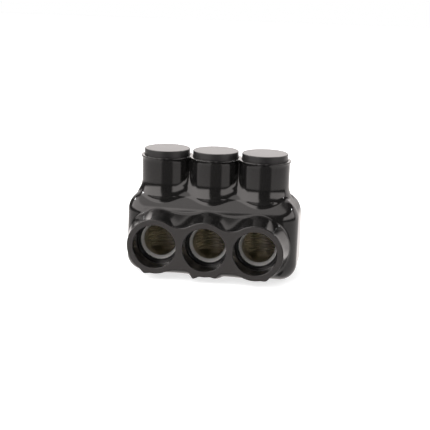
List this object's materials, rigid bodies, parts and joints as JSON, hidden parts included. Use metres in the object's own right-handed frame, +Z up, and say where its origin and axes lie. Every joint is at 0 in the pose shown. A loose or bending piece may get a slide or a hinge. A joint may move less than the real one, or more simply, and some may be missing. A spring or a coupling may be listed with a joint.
{
  "type": "insulated multi-tap connector",
  "caption": "Insulated power tap: an aluminium bar in a one-piece black moulded cover, with flared cable ports in front and a plugged chimney over each set screw.",
  "frame": {"origin": "point of the resting face under the middle cable port, halfway between the front of the rims and the back of the cover", "axes": "+X along the row of ports, +Y from the ports towards the back, the way a cable enters, +Z up along the set screws"},
  "size_m": [0.0974, 0.0494, 0.0695],
  "materials": {
    "black_plastisol": "glossy soft black moulding, slightly uneven, matte where the rims were trimmed",
    "plated_aluminium": "satin tin plating with turned and tapped bores",
    "screw_aluminium": "bright machined aluminium",
    "plug_plastic": "satin black plastic with a bright edge round the top"
  },
  "bodies": {
    "housing": {"insulating_cover": "black_plastisol", "connector_bar": "plated_aluminium"},
    "screw_1": {"set_screw_1": "screw_aluminium"},
    "screw_2": {"set_screw_2": "screw_aluminium"},
    "screw_3": {"set_screw_3": "screw_aluminium"},
    "plug_1": {"access_plug_1": "plug_plastic"},
    "plug_2": {"access_plug_2": "plug_plastic"},
    "plug_3": {"access_plug_3": "plug_plastic"}
  },
  "joints": [
    {"name": "screw_travel_1", "type": "slide", "parent": "housing", "child": "screw_1", "axis": [0, 0, 1], "range_m": [-0.02, 0.01]},
    {"name": "screw_travel_2", "type": "slide", "parent": "housing", "child": "screw_2", "axis": [0, 0, 1], "range_m": [-0.02, 0.01]},
    {"name": "screw_travel_3", "type": "slide", "parent": "housing", "child": "screw_3", "axis": [0, 0, 1], "range_m": [-0.02, 0.01]},
    {"name": "plug_pull_1", "type": "slide", "parent": "housing", "child": "plug_1", "axis": [0, 0, 1], "range_m": [0, 0.016]},
    {"name": "plug_pull_2", "type": "slide", "parent": "housing", "child": "plug_2", "axis": [0, 0, 1], "range_m": [0, 0.016]},
    {"name": "plug_pull_3", "type": "slide", "parent": "housing", "child": "plug_3", "axis": [0, 0, 1], "range_m": [0, 0.016]}
  ]
}
